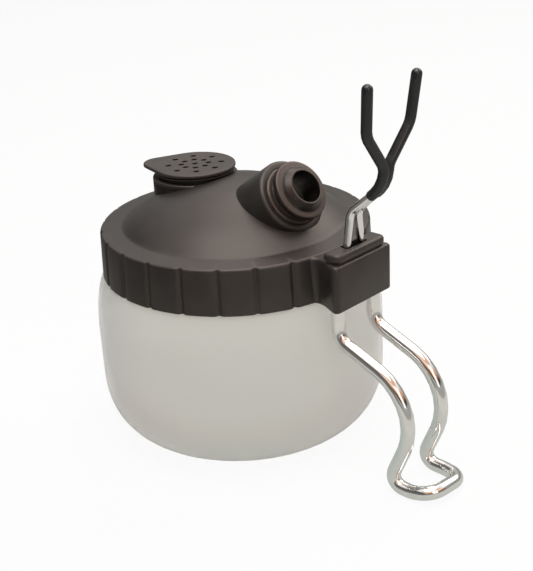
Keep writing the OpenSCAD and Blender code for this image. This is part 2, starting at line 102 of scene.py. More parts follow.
# %% [markdown]
# ## Helpers for turned pieces
#
# Most of the pot is round, so most pieces start as half of their outline, drawn as a chain
# of corners, and are spun about an axis as clay is on a wheel. Bevelling a corner of the
# bare outline (a vertex bevel) rounds it before the spin, which is cheaper and cleaner
# than bevelling the finished solid. Each corner is (radius, height) or, where it is
# rounded, (radius, height, rounding).

# %% Outlines with rounded corners

hair = 1e-6    # metres: points this close together are one
bevel_step = math.radians(14)


def outline(bm, corners, closed=True):
    """Draws corners as a chain of edges in a bmesh and rounds those with a third number."""
    points = [Vector((c[0], 0, c[1])) * MM for c in corners]
    return rounded_chain(bm, points, [c[2] if len(c) > 2 else 0 for c in corners], closed)


def rounded_chain(bm, points, rounds, closed):
    """Joins points, in metres, by edges, and rounds those whose radius in rounds isn't 0."""
    verts = [bm.verts.new(p) for p in points]
    count = len(verts)
    for i in range(count if closed else count - 1):
        bm.edges.new((verts[i], verts[(i + 1) % count]))
    for i, vert in enumerate(verts):
        if rounds[i]:
            back = (points[i - 1] - points[i]).normalized()
            ahead = (points[(i + 1) % count] - points[i]).normalized()
            half = back.angle(ahead) / 2
            turn = math.pi - 2 * half
            bmesh.ops.bevel(
                bm,
                geom=[vert],
                offset=rounds[i] * MM / math.tan(half),
                offset_type="OFFSET",
                affect="VERTICES",
                segments=max(2, round(turn / bevel_step)),
                profile=0.5,
                material=-1,
                clamp_overlap=False,
            )
    return bm


def turned(bm, turns=((2 * math.pi, 128),)):
    """Spins an outline about Z through each (angle, steps) of turns, a full circle in all."""
    geom = bm.verts[:] + bm.edges[:]
    for angle, steps in turns:
        spun = bmesh.ops.spin(
            bm, geom=geom, cent=(0, 0, 0), axis=(0, 0, 1), dvec=(0, 0, 0),
            angle=angle, steps=steps, use_merge=len(turns) == 1, use_duplicate=False,
        )
        geom = spun["geom_last"]
    bmesh.ops.remove_doubles(bm, verts=bm.verts, dist=2 * hair)
    bmesh.ops.recalc_face_normals(bm, faces=bm.faces)
    return bm


def arc(centre_r, centre_z, radius, start, end, steps):
    """Points of a circle's arc in an outline, from angle start to end in degrees."""
    angles = [math.radians(start + (end - start) * i / steps) for i in range(steps + 1)]
    return [(centre_r + radius * math.cos(a), centre_z + radius * math.sin(a)) for a in angles]


print("an outline's rounded corner has a segment for each", round(math.degrees(bevel_step)), "degrees")

# %% [markdown]
# ## Helpers for finished pieces
#
# A finished piece's object stays at the origin and its place is in its mesh, as with the
# CAD nodes. Boolean cuts are done one at a time with the exact solver and applied at
# once, so what is left is plain mesh.

# %% Objects, cuts and shading


def make_object(bm, name):
    """Turns a bmesh into an object of the scene and frees the bmesh."""
    mesh = bpy.data.meshes.new(name)
    bm.to_mesh(mesh)
    bm.free()
    obj = bpy.data.objects.new(name, mesh)
    bpy.context.scene.collection.objects.link(obj)
    return obj


def plain_mesh(obj):
    """A new mesh of obj as it stands, with its modifiers or bevel applied."""
    bpy.context.view_layer.update()
    return bpy.data.meshes.new_from_object(obj.evaluated_get(bpy.context.evaluated_depsgraph_get()))


def cut_or_join(obj, tool, operation):
    """Applies tool, an object, to obj with the exact Boolean solver, and removes tool."""
    boolean = obj.modifiers.new("tool", "BOOLEAN")
    boolean.operation = operation
    boolean.object = tool
    boolean.solver = "EXACT"
    result = plain_mesh(obj)
    obj.modifiers.clear()
    obj.data = result
    bpy.data.objects.remove(tool)
    return obj


def finish(obj, body, material, nodes, sharp):
    """Shades obj smooth except at edges sharper than sharp degrees, and puts it on its body."""
    mesh = obj.data
    mesh.name = obj.name
    for face in mesh.polygons:
        face.use_smooth = True
    mesh.set_sharp_from_angle(angle=math.radians(sharp))
    mesh.materials.clear()
    mesh.materials.append(material)
    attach(obj, body)
    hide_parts(*nodes)
    print(f"{obj.name}: {len(mesh.polygons)} faces")


# %% [markdown]
# ## Shader maths
#
# Materials are node graphs. To keep them readable, a small class wraps an output socket
# and overloads the arithmetic operators, so `1 - mask * 0.3` builds its Math nodes. Every
# other node comes from one method, `node`, and a few short methods name its common uses.

# %% A socket that does arithmetic


class Signal:
    """An output socket of a node, with + - and * that add Math nodes."""

    def __init__(self, shader, socket):
        self.shader = shader
        self.socket = socket

    def maths(self, operation, first, second=0.0):
        return self.shader.node("ShaderNodeMath", {"operation": operation}, {0: first, 1: second})

    def __add__(self, other):
        return self.maths("ADD", self, other)

    __radd__ = __add__

    def __mul__(self, other):
        return self.maths("MULTIPLY", self, other)

    __rmul__ = __mul__

    def __sub__(self, other):
        return self.maths("SUBTRACT", self, other)

    def __rsub__(self, other):
        return self.maths("SUBTRACT", other, self)

    def clamped(self):
        return self.shader.node("ShaderNodeClamp", {}, {"Value": self})


# %% The nodes of a material or a world


class Shader:
    """The nodes of owner, a new material or world, and the one method that adds to them."""

    def __init__(self, owner):
        self.owner = owner
        self.owner.use_nodes = True
        self.tree = self.owner.node_tree
        self.tree.nodes.clear()

    def node(self, kind, settings, sockets, output=0):
        """Adds a node, with its settings and then its sockets' values or links."""
        node = self.tree.nodes.new(kind)
        for key, value in settings.items():
            if key == "stops":
                self.set_stops(node.color_ramp, value)
            else:
                setattr(node, key, value)
        for key, value in sockets.items():
            if isinstance(value, Signal):
                self.tree.links.new(value.socket, node.inputs[key])
            else:
                node.inputs[key].default_value = value
        return Signal(self, node.outputs[output])

    @staticmethod
    def set_stops(ramp, stops):
        while len(ramp.elements) < len(stops):
            ramp.elements.new(1.0)
        for element, (place, colour) in zip(ramp.elements, stops):
            element.position = place
            element.color = (*colour, 1.0)

    def place(self):
        """The point being shaded, in metres, in the piece's own frame."""
        return self.node("ShaderNodeTexCoord", {}, {}, output="Object")

    def axis(self, name):
        return self.node("ShaderNodeSeparateXYZ", {}, {0: self.place()}, output=name)

    def from_point(self, point):
        """The vector from a point, in metres, to the point being shaded."""
        return self.node("ShaderNodeVectorMath", {"operation": "SUBTRACT"}, {0: self.place(), 1: point})

    def length(self, vector):
        return self.node("ShaderNodeVectorMath", {"operation": "LENGTH"}, {0: vector}, output="Value")

    def ray(self, kind):
        """1 for rays of one kind: Camera, Glossy or Transmission."""
        return self.node("ShaderNodeLightPath", {}, {}, output=f"Is {kind} Ray")

    def noise(self, grain_mm, detail=2.0):
        """Noise whose blobs are about grain_mm across."""
        return self.node("ShaderNodeTexNoise", {}, {
            "Vector": self.place(), "Scale": 1.0 / (grain_mm * MM), "Detail": detail, "Roughness": 0.5})

    def ramp(self, signal, stops):
        return self.node("ShaderNodeValToRGB", {"stops": stops}, {0: signal})

    def step(self, signal, low, high):
        """0 below low, 1 above high and smooth between."""
        return self.node("ShaderNodeMapRange", {"interpolation_type": "SMOOTHSTEP"}, {
            "Value": signal, "From Min": low, "From Max": high, "To Min": 0.0, "To Max": 1.0})

    def band(self, signal, rise_low, rise_high, fall_low, fall_high):
        """0 outside the outer limits, 1 between the inner two and smooth between."""
        return self.step(signal, rise_low, rise_high) * (1 - self.step(signal, fall_low, fall_high))

    def mix(self, factor, first, second):
        """Goes from the first colour to the second; each is a signal or (red, green, blue)."""
        first, second = [c if isinstance(c, Signal) else (*c, 1.0) for c in (first, second)]
        return self.node("ShaderNodeMix", {"data_type": "RGBA"}, {0: factor, 6: first, 7: second}, output=2)

    def bump(self, height, strength, depth_mm):
        return self.node("ShaderNodeBump", {}, {
            "Strength": strength, "Distance": depth_mm * MM, "Height": height})

    def end(self, surface, kind="ShaderNodeOutputMaterial"):
        """Links a finished surface to the output and gives back the material or world."""
        output = self.tree.nodes.new(kind)
        self.tree.links.new(surface.socket, output.inputs["Surface"])
        return self.owner

    def principled(self, sockets):
        """Ends the material with a Principled shader."""
        return self.end(self.node("ShaderNodeBsdfPrincipled", {}, sockets))


def new_material(name):
    return Shader(bpy.data.materials.new(name))


print("shader helpers:", *(name for name in vars(Shader) if not name.startswith("_")))

# %% [markdown]
# ## Finish: moulded plastic
#
# The lid is injection moulded in a dark warm grey with a fine spark-eroded texture. The
# texture is far finer than any feature, so it is bump and not geometry. A slow mottle in
# colour and roughness stands for the flow of the plastic and for handling. The walls of
# the vent cap's holes, and the plastic just under the cap near the vent, are darkened to
# near black up to their broken edges: this is painted shade. The gloss is tinted, because
# this plastic's sheen is a little brown.

# %% Moulded plastic

# Top and reach, in mm, of the painted shade in the vent cap's holes
hole_shade_top = vent_z + 2.82
hole_shade_r = 9.9


def moulded_plastic(name, colour, light_colour, roughness, hole_shade_z=0.0):
    """Satin plastic, darkened as painted shade near the vent's axis, below a height in metres."""
    shader = new_material(name)
    mottle = shader.noise(9.0, detail=3.0)
    grain = shader.noise(0.25, detail=1.0)
    tint = shader.mix(shader.step(mottle, 0.3, 0.7), colour, light_colour)
    if hole_shade_z:
        # Painted shade: near black below that height and near the vent's axis, in the holes and under the cap
        below = 1 - shader.step(shader.axis("Z"), hole_shade_z - 0.12 * MM, hole_shade_z)
        span = shader.length(shader.from_point((vent_x * MM, 0, hole_shade_z)))
        near_axis = 1 - shader.step(span, (hole_shade_r - 0.3) * MM, hole_shade_r * MM)
        tint = shader.mix(below * near_axis, tint, (0.002, 0.002, 0.002))
    return shader.principled({
        "Base Color": tint,
        "Roughness": roughness + mottle * 0.08 + grain * 0.06,
        "Specular IOR Level": 0.6,
        "Specular Tint": (1.0, 0.85, 0.75, 1),
        "Normal": shader.bump(grain, 0.4, 0.03),
    })


lid_plastic = moulded_plastic("lid_plastic", (0.020, 0.018, 0.0175), (0.030, 0.0265, 0.025), 0.35)
# The cap's plastic carries the painted shade in its holes
cap_plastic = moulded_plastic(
    "cap_plastic", (0.030, 0.026, 0.025), (0.042, 0.035, 0.033), 0.40, hole_shade_top * MM)
print("plastics:", lid_plastic.name, cap_plastic.name)

# %% [markdown]
# ## Finish: frosted glass
#
# The jar is acid-frosted outside. Light goes through it but no image does, so it is a
# transmitting shader that is rough all over. A faint brown tint gathers in the thick
# heel, and a fine grain keeps the frosting from looking like plastic. Real frosting
# scatters light sideways in the glass and stays pale to its edges. A rough surface at
# glass's own index of 1.5 goes dark there, so the index is lower, and sheen whitens the
# edges.

# %% Frosted glass

heel_tint_top = 30.0


def frosted_glass(name):
    shader = new_material(name)
    cloud = shader.noise(14.0)
    grain = shader.noise(0.3, detail=1.0)
    above_heel = shader.step(shader.axis("Z"), 0.0, heel_tint_top * MM)
    tint = shader.mix(above_heel, (0.958, 0.90, 0.868), (0.972, 0.960, 0.945))
    return shader.principled({
        "Base Color": tint,
        "Roughness": 0.52 + cloud * 0.1,
        "IOR": 1.2,
        "Transmission Weight": 0.88,
        "Sheen Weight": 0.7,
        "Sheen Roughness": 0.35,
        "Normal": shader.bump(grain, 0.25, 0.02),
    })


frosted = frosted_glass("frosted_glass")
print("glass:", frosted.name)

# %% [markdown]
# ## Finish: chrome
#
# The wires are bright nickel-chrome. Drawn wire keeps faint lengthwise waves, and chrome
# has a few dull spots, so roughness and bump vary slightly and the rest is reflection.

# %% Chrome


def bright_chrome(name):
    shader = new_material(name)
    waves = shader.noise(3.0, detail=1.0)
    dull = shader.noise(1.2)
    return shader.principled({
        "Base Color": shader.mix(waves, (0.86, 0.85, 0.84), (0.78, 0.77, 0.76)),
        "Metallic": 1.0,
        "Roughness": 0.07 + shader.step(dull, 0.55, 0.8) * 0.1,
        "Normal": shader.bump(waves, 0.25, 0.12),
    })


chrome = bright_chrome("chrome_wire")
print("metal:", chrome.name)

# %% [markdown]
# ## Finish: dipped vinyl and rubber
#
# The fork's prongs were dipped in liquid vinyl. It dries satin, with a glossy bead at
# each tip and a wet-looking run down the left prong, where it drained. The nozzle seat is
# moulded rubber. Its outer ring and its lip are painted lighter as painted highlights, and
# its bore is painted near black as painted shade. The ring, lip and bore are told apart
# by the distance from the port's axis, which is the length of a cross product with the axis.

# %% Vinyl and rubber


def dipped_vinyl(name, bead_z):
    """Black vinyl, glossy in the beads above bead_z, in metres, and in a run on the left."""
    shader = new_material(name)
    below_bead = bead_z - shader.axis("Z")
    bead = 1 - shader.step(below_bead, 0.0, 1.2 * MM)
    left = shader.step(shader.axis("Y"), 1.2 * MM, 2.2 * MM)
    run = left * shader.band(below_bead, 11.6 * MM, 12.6 * MM, 21.0 * MM, 22.0 * MM)
    runs = shader.noise(1.6)
    return shader.principled({
        "Base Color": shader.mix(runs, (0.011, 0.011, 0.012), (0.020, 0.020, 0.021)),
        "Roughness": 0.44 + runs * 0.12 - bead * 0.36 - run * 0.34,
        "Specular IOR Level": 0.5,
        "Normal": shader.bump(runs, 0.3, 0.1),
    })


def moulded_rubber(name, colour, roughness, port_light_and_shade=False):
    """Black rubber; at the port, painted highlights on its ring and lip and painted shade in its bore."""
    shader = new_material(name)
    bloom = shader.noise(2.5, detail=3.0)
    grain = shader.noise(0.3, detail=1.0)
    bloomed = [part * 1.7 + 0.01 for part in colour]
    tint = shader.mix(shader.step(bloom, 0.4, 0.75), colour, bloomed)
    if port_light_and_shade:
        port_axis = (math.cos(port_tilt), 0, math.sin(port_tilt))
        across = shader.node("ShaderNodeVectorMath", {"operation": "CROSS_PRODUCT"}, {
            0: shader.from_point(port_centre * MM), 1: port_axis})
        radius = shader.length(across)    # the seat's ring, lip and bore are told by it
        ring = shader.band(radius, 6.7 * MM, 7.1 * MM, 8.3 * MM, 8.65 * MM)
        lip = shader.band(radius, 4.75 * MM, 4.85 * MM, 5.1 * MM, 5.3 * MM)
        bore = 1 - shader.step(radius, 4.70 * MM, 4.78 * MM)
        # Painted highlight: the ring and lip are lighter. Painted shade: the bore is near black.
        tint = shader.mix((ring + lip).clamped() * 0.9, tint, (0.085, 0.062, 0.053))
        tint = shader.mix(bore, tint, (0.001, 0.001, 0.001))
    return shader.principled({
        "Base Color": tint,
        "Roughness": roughness + bloom * 0.12,
        "Specular IOR Level": 0.5,
        "Specular Tint": (1.0, 0.84, 0.76, 1),
        "Normal": shader.bump(grain, 0.3, 0.03),
    })


# The seat's rubber carries the painted highlights and painted shade at the port
seat_rubber = moulded_rubber("seat_rubber", (0.010, 0.008, 0.007), 0.30, port_light_and_shade=True)
seal_rubber = moulded_rubber("seal_rubber", (0.008, 0.008, 0.008), 0.55)
print("rubbers:", seat_rubber.name, seal_rubber.name)

# %% [markdown]
# ## Finish: filter felt
#
# The vent's filter is a punched disc of wool felt. Felt has no weave, only tangled fibre,
# so one fine noise drives both its colour and a strong, shallow bump.

# %% Filter felt


def felt(name):
    shader = new_material(name)
    tufts = shader.noise(0.7, detail=4.0)
    return shader.principled({
        "Base Color": shader.mix(tufts, (0.62, 0.60, 0.54), (0.82, 0.80, 0.74)),
        "Roughness": 0.95,
        "Normal": shader.bump(tufts, 0.8, 0.3),
    })


filter_felt = felt("filter_felt")
print("felt:", filter_felt.name)

# %% [markdown]
# ## The glass jar
#
# One outline goes up the outside and down the inside. The heel is a squared curve (a
# superellipse), fuller than a circle, and the shoulder is a quarter of an ellipse. A
# screw thread is a small outline spun with a rise, and is joined on.

# %% The jar's curves

base_r = 25.0
heel_h = 20.6
heel_power = 2.4
wall_top = 34.0
shoulder_r = 39.6
neck_r = 36.9
bore_r = 33.9
glass_t = 3.0
floor_t = 5.0
curve_steps = 18


def heel(inside_r, outside_r, low_z):
    """Outline points of the heel, from the base up."""
    points = []
    for i in range(curve_steps + 1):
        t = (i / curve_steps) ** 2
        r = inside_r + (outside_r - inside_r) * (1 - (1 - t) ** heel_power) ** (1 / heel_power)
        points.append((r, low_z + (heel_h - low_z) * t))
    return points


def shoulder(low_r, high_r, top):
    """Outline points of the shoulder, from the straight wall up."""
    angles = [math.pi / 2 * i / curve_steps for i in range(curve_steps + 1)]
    wide = high_r - low_r
    tall = top - wall_top
    return [(low_r + wide * math.cos(a), wall_top + tall * math.sin(a)) for a in angles]


# %% Screw threads

pitch = 4.0
thread_h = 1.15
root_half = 1.1
crest_half = 0.5
crest_rounding = 0.2
thread_sink = 0.5
steps_per_turn = 64


def thread(wall_r, crest_r, z, turns):
    """A screw thread as an object: a small outline, sunk in its wall and spun with a rise."""
    sunk_r = wall_r - math.copysign(thread_sink, crest_r - wall_r)
    bm = outline(bmesh.new(), [
        (sunk_r, z - root_half),
        (crest_r, z - crest_half, crest_rounding),
        (crest_r, z + crest_half, crest_rounding),
        (sunk_r, z + root_half)])
    bmesh.ops.spin(
        bm, geom=bm.verts[:] + bm.edges[:], cent=(0, 0, 0), axis=(0, 0, 1),
        dvec=(0, 0, pitch * MM / steps_per_turn), angle=2 * math.pi * turns,
        steps=round(steps_per_turn * turns), use_merge=False, use_duplicate=False,
    )
    ends = [edge for edge in bm.edges if edge.is_boundary]
    bmesh.ops.holes_fill(bm, edges=ends, sides=0)
    bmesh.ops.recalc_face_normals(bm, faces=bm.faces)
    return make_object(bm, "thread")


# %% Jar

neck_rounding = 0.8
rim_rounding = 0.9
jar_thread_z = neck_z + 1.7
jar_thread_turns = 1.25


def make_jar():
    inner_r = jar_r - glass_t
    corners = [(0, 0)]
    corners += heel(base_r, jar_r, 0)
    corners += shoulder(shoulder_r, jar_r, neck_z)[1:]
    corners += [(neck_r, neck_z, neck_rounding), (neck_r, rim_z, rim_rounding), (bore_r, rim_z, rim_rounding)]
    corners += shoulder(bore_r, inner_r, neck_z - 1)[::-1]
    corners += heel(base_r - glass_t, inner_r, floor_t)[::-1]
    corners += [(0, floor_t)]
    jar = make_object(turned(outline(bmesh.new(), corners, closed=False)), "jar_glass")
    return cut_or_join(jar, thread(neck_r, neck_r + thread_h, jar_thread_z, jar_thread_turns), "UNION")


finish(make_jar(), "jar", frosted, ["glass_jar"], sharp=50)

# %% [markdown]
# ## The lid
#
# The lid is one moulding: a grooved collar, a flat band, a dome, the vent's wall, the
# nozzle port and the bracket. The dome and collar are spun in uneven steps, fine across
# each grip groove and coarse between, and the grooves are pressed in by moving vertices.
# The other parts are joined by Booleans, as a mould maker would add them to the core.

# %% Collar, band and dome

cavity_r = 31.8
dome_t = 2.0
cavity_angle = math.degrees(math.acos(cavity_r / (dome_r - dome_t)))
spigot_r = 33.6
spigot_z = rim_z - 3.6
band_z = rim_z + 2.4
collar_bevel = 0.9
groove_count = 24
groove_half = math.radians(1.7)
groove_depth = 0.62


def place_at_port(bm):
    """Moves a piece drawn about +Z, with the port's rim at height 0, to the port."""
    turn = Matrix.Rotation(math.pi / 2 - port_tilt, 4, "Y")
    bmesh.ops.transform(bm, matrix=Matrix.Translation(port_centre * MM) @ turn, verts=bm.verts)
    return bm


def place_at_vent(bm, z):
    """Moves a piece drawn on the Z axis to the vent's axis and up by z."""
    bmesh.ops.translate(bm, vec=Vector((vent_x, 0, z)) * MM, verts=bm.verts)
    return bm


def on_axis(corner):
    """An arc's end on the axis, without the rounding error of its cosine."""
    return (0, corner[1])


def groove_at(angle):
    """How deep the grip grooves are at an angle, from 0 to 1. None crosses the bracket."""
    step = 2 * math.pi / groove_count
    off = (angle % step) - step / 2
    if abs(off) > groove_half or math.cos(angle - off) > 0.95:
        return 0.0
    return 0.5 + 0.5 * math.cos(math.pi * off / groove_half)


def dome_outline():
    """Half of the lid's section, from the top of the cavity to the top of the dome."""
    edge_angle = math.degrees(math.acos((dome_edge_r - 1.4) / dome_r))
    corners = arc(0, dome_centre_z, dome_r - dome_t, 90, cavity_angle, 16)
    corners += [(cavity_r, spigot_z, 0.4), (spigot_r, spigot_z, 0.4), (spigot_r, band_z)]
    corners += [(collar_in_r, band_z, 0.6), (collar_in_r, collar_z, 0.3)]
    corners += [(collar_bottom_r, collar_z, 0.4), (collar_top_r, top_z, collar_bevel)]
    corners += [(dome_edge_r, dome_edge_z, 1.6)]
    corners += arc(0, dome_centre_z, dome_r, edge_angle, 90, 24)
    corners[0] = on_axis(corners[0])
    corners[-1] = on_axis(corners[-1])
    return outline(bmesh.new(), corners, closed=False)


def press_grooves(bm):
    """Moves the collar's outside inwards at the grooves, less and less over its top bevel."""
    for vert in bm.verts:
        r = vert.co.xy.length / MM
        inward = min(1.0, (r - collar_top_r + collar_bevel) / collar_bevel)
        if inward > 0 and vert.co.z > collar_z * MM - hair:
            depth = groove_depth * inward * groove_at(math.atan2(vert.co.y, vert.co.x))
            vert.co.xy *= 1 - depth / r


def make_dome_and_collar():
    bm = dome_outline()
    step = 2 * math.pi / groove_count
    start = Matrix.Rotation(groove_half - step / 2, 3, "Z")
    bmesh.ops.rotate(bm, cent=(0, 0, 0), matrix=start, verts=bm.verts)
    turned(bm, [(step - 2 * groove_half, 6), (2 * groove_half, 8)] * groove_count)
    press_grooves(bm)
    return make_object(bm, "screw_lid_shell")


lid = make_dome_and_collar()
print("dome and collar:", len(lid.data.polygons), "faces")

# %% [markdown]
# ## The bracket moulded on the collar
#
# The wires hang from a block that is moulded on the collar. Half of its outline is drawn,
# seen from above, and mirrored, so that both sides match. Boxes would be quicker to build,
# but the hollow fillets that blend the block into the collar would be lost.

# %% Bracket

neck_half = 9.3
face_half = 12.6
bracket_fillet = 2.3
flank_bend = 6.0
face_rounding = 1.5


def half_bracket():
    """Corners of the bracket's +Y side, from inside the collar's wall to its outer face."""
    meet = Vector((math.sqrt(collar_top_r ** 2 - neck_half ** 2), neck_half))
    radial = meet.normalized()
    along = Vector((-radial.y, radial.x))
    tail = meet + along * 4.4 - radial * 0.35    # further round, just under the surface
    return [
        (tail.x - 3, tail.y - 2, 0),
        (tail.x, tail.y, 0),
        (meet.x, meet.y, bracket_fillet),
        (collar_top_r + 1.95, neck_half + 0.05, flank_bend),
        (face_x, face_half, face_rounding)]


def prism(corners, low_z, high_z):
    """Extrudes a rounded outline in XY, given as (x, y, rounding), from low_z to high_z."""
    bm = bmesh.new()
    points = [Vector((x, y, low_z)) * MM for x, y, _ in corners]
    rounded_chain(bm, points, [c[2] for c in corners], True)
    bmesh.ops.contextual_create(bm, geom=bm.edges[:])
    grown = bmesh.ops.extrude_face_region(bm, geom=bm.faces[:])
    top = [item for item in grown["geom"] if isinstance(item, bmesh.types.BMVert)]
    bmesh.ops.translate(bm, vec=(0, 0, (high_z - low_z) * MM), verts=top)
    bmesh.ops.recalc_face_normals(bm, faces=bm.faces)
    return bm


def soften_rim(bm, z, width, segments=3):
    """Bevels the edges round a prism's flat face at height z."""
    level = z * MM
    rim = [edge for edge in bm.edges if all(abs(vert.co.z - level) < hair for vert in edge.verts)]
    bmesh.ops.bevel(
        bm, geom=rim, offset=width * MM, offset_type="OFFSET", affect="EDGES", segments=segments,
        profile=0.5, material=-1, clamp_overlap=True,
    )


def mirrored(half):
    """Half an outline with its mirror image in Y, as one closed outline."""
    return half + [(x, -y, rounding) for x, y, rounding in reversed(half)]


bracket = prism(mirrored(half_bracket()), collar_z, bracket_top)
soften_rim(bracket, bracket_top, 1.2)
soften_rim(bracket, collar_z, 0.4)
cut_or_join(lid, make_object(bracket, "bracket"), "UNION")
print("with the bracket:", len(lid.data.polygons), "faces")

# %% [markdown]
# ## Port and vent walls
#
# The port is a tilted tube and the vent an upright one, and both are part of the lid's
# moulding. Each is turned on its own axis, moved to its place and joined to the dome with
# an exact Boolean, which leaves the crisp line that a mould leaves. The joined drums are
# solid and reach into the dome, so its cavity is cut again. Short drums then give back the
# walls that hang inside it, and last come the bores.

# %% Drums and the dome's cavity


def drum(r, low_z, high_z, rounding=0.0, steps=96):
    """A plain turned cylinder with a rounded top edge."""
    corners = [(0, low_z), (r, low_z), (r, high_z, rounding), (0, high_z)]
    return turned(outline(bmesh.new(), corners, closed=False), [(2 * math.pi, steps)])


def port_drum(r, low_z, high_z, rounding=0.0):
    """A drum on the port's axis, as an object, with heights from the port's rim."""
    return make_object(place_at_port(drum(r, low_z, high_z, rounding)), "port_drum")


def vent_drum(r, low_z, high_z, rounding=0.0):
    """A drum on the vent's axis, as an object, with heights from the vent's rim."""
    return make_object(place_at_vent(drum(r, low_z, high_z, rounding), vent_z), "vent_drum")


def make_dome_cavity():
    """The space under the dome, a hair smaller than it was spun, so that no faces coincide."""
    gap = 0.02
    low_z = rim_z - 6
    corners = [(0, low_z), (cavity_r - gap, low_z)]
    corners += arc(0, dome_centre_z, dome_r - dome_t - gap, cavity_angle, 90, 16)
    corners[-1] = on_axis(corners[-1])
    return make_object(turned(outline(bmesh.new(), corners, closed=False)), "cavity")


# %% Port and vent walls

port_bore_r = 8.9
port_r = 10.85
port_rounding = 1.1
port_root = -20.0
port_depth = 8.0
ledge_r = port_bore_r - 1.8
ledge_t = 1.2
vent_wall_r = 12.9
vent_rounding = 0.5
vent_root = -10.0
vent_bore_r = 10.5
vent_depth = 5.4
cap_r = 12.35
cap_gap = 0.45
under_rim = -1.0
past = 3.0         # how far a cutting drum runs past the rim it enters
through = -14.0    # deep enough for a bore to come out in the cavity

cut_or_join(lid, port_drum(port_r, port_root, 0, port_rounding), "UNION")
cut_or_join(lid, vent_drum(vent_wall_r, vent_root, 0, vent_rounding), "UNION")
cut_or_join(lid, make_dome_cavity(), "DIFFERENCE")
cut_or_join(lid, port_drum(port_r, -port_depth - ledge_t, under_rim), "UNION")
cut_or_join(lid, vent_drum(vent_wall_r, -vent_depth, under_rim), "UNION")
cut_or_join(lid, port_drum(port_bore_r, -port_depth, past), "DIFFERENCE")
cut_or_join(lid, port_drum(ledge_r, through, past), "DIFFERENCE")
cut_or_join(lid, vent_drum(vent_bore_r, through, past), "DIFFERENCE")
cut_or_join(lid, vent_drum(cap_r + cap_gap, 0, 2 * past), "DIFFERENCE")
lid_thread_z = jar_thread_z + pitch / 2
cut_or_join(lid, thread(collar_in_r, collar_in_r - thread_h, lid_thread_z, 1.0), "UNION")
print("with port and vent:", len(lid.data.polygons), "faces")

# %% [markdown]
# ## Sockets in the bracket
#
# The loop's ends stand in round sockets, and the fork drops into a slot. Each is cut with
# a closed tool that runs a little past the face it enters, so the cut is clean.

# %% Sockets in the bracket

leg_x = collar_top_r + 5.8
leg_y = 7.67
socket_r = 2.08
socket_depth = 10.5
fork_x = collar_top_r + 5.5
slot_half_x = 1.45
slot_half_y = 4.35
slot_depth = 9.0


def slot_tool(low_z, high_z):
    quarters = ((-1, -1), (1, -1), (1, 1), (-1, 1))
    corners = [(fork_x + x * slot_half_x, y * slot_half_y, 0.4) for x, y in quarters]
    return make_object(prism(corners, low_z, high_z), "slot")


for side in (-1, 1):
    socket = drum(socket_r, collar_z - 2, collar_z + socket_depth, steps=48)
    bmesh.ops.translate(socket, vec=Vector((leg_x, side * leg_y, 0)) * MM, verts=socket.verts)
    cut_or_join(lid, make_object(socket, "leg_socket"), "DIFFERENCE")
cut_or_join(lid, slot_tool(bracket_top - slot_depth, bracket_top + 2), "DIFFERENCE")
finish(lid, "lid", lid_plastic, ["screw_lid"], sharp=30)

# %% [markdown]
# ## The bracket's cover plate
#
# The plate stands on a narrow step, so a dark line runs round it. It is a prism with a
# soft top edge, joined to a smaller prism below and cut by the fork's slot.

# %% Cover plate

cover_x = face_x - 0.6
cover_depth = 5.6
cover_half = 10.4
cover_low = bracket_top + 0.7
cover_high = bracket_top + 2.7
step_inset = 0.5


def cover_corners(inset):
    near = cover_x - cover_depth + inset
    far = cover_x - inset
    half = cover_half - inset
    return [(near, -half, 1), (far, -half, 2), (far, half, 2), (near, half, 1)]


def make_cover():
    plate = prism(cover_corners(0), cover_low, cover_high)
    soften_rim(plate, cover_high, 1.0, segments=5)
    soften_rim(plate, cover_low, 0.25, segments=2)
    cover = make_object(plate, "bracket_plate")
    step = make_object(prism(cover_corners(step_inset), bracket_top, bracket_top + 1), "step")
    cut_or_join(cover, step, "UNION")
    return cut_or_join(cover, slot_tool(bracket_top - 1, bracket_top + 4), "DIFFERENCE")


finish(make_cover(), "lid", lid_plastic, ["bracket_cover"], sharp=30)

# %% [markdown]
# ## The rubber nozzle seat
#
# A turned rubber plug: a body in the port's bore, a waist, a flange, and a cone with a
# thin lip round the hole that takes the airbrush's nozzle.

# %% Nozzle seat

seat_hole_r = 4.73
seat_r = port_bore_r - 0.08
seat_low = 0.2 - port_depth
waist_r = 6.92
flange_r = 8.7
flange_low = 2.45
flange_high = 4.35
lip_z = 6.5


def make_seat():
    body = [
        (seat_hole_r, -1), (7.02, -1.8, 0.3), (7.02, seat_low, 0.3), (seat_r, seat_low, 0.4),
        (seat_r, -0.1, 0.35), (8.2, 0.3, 0.2)]
    waist = [(waist_r, 0.3, 0.4), (waist_r, flange_low, 0.3)]
    flange = [(flange_r, flange_low, 0.4), (flange_r, flange_high, 0.7)]
    cone = [(6.95, flange_high, 0.15), (6.4, 5.3, 0.5), (5.2, lip_z, 0.25), (seat_hole_r, lip_z, 0.15)]
    bm = turned(outline(bmesh.new(), body + waist + flange + cone))
    return make_object(place_at_port(bm), "nozzle_rubber")


finish(make_seat(), "seat", seat_rubber, ["nozzle_seat"], sharp=50)

# %% [markdown]
# ## The vent cap
#
# A disc with a thumb tab: a large circle and a small one, joined by two tangents. Its
# edges are softened first. Then the plug below it is turned and joined on, and the holes
# are cut with a tool that also breaks each hole's edge.

# %% The cap's outline

cap_z = vent_z + 1.9
cap_t = 1.1
tab_tip_r = 5.0
tab_reach = 16.4
tab_turn = math.radians(26)


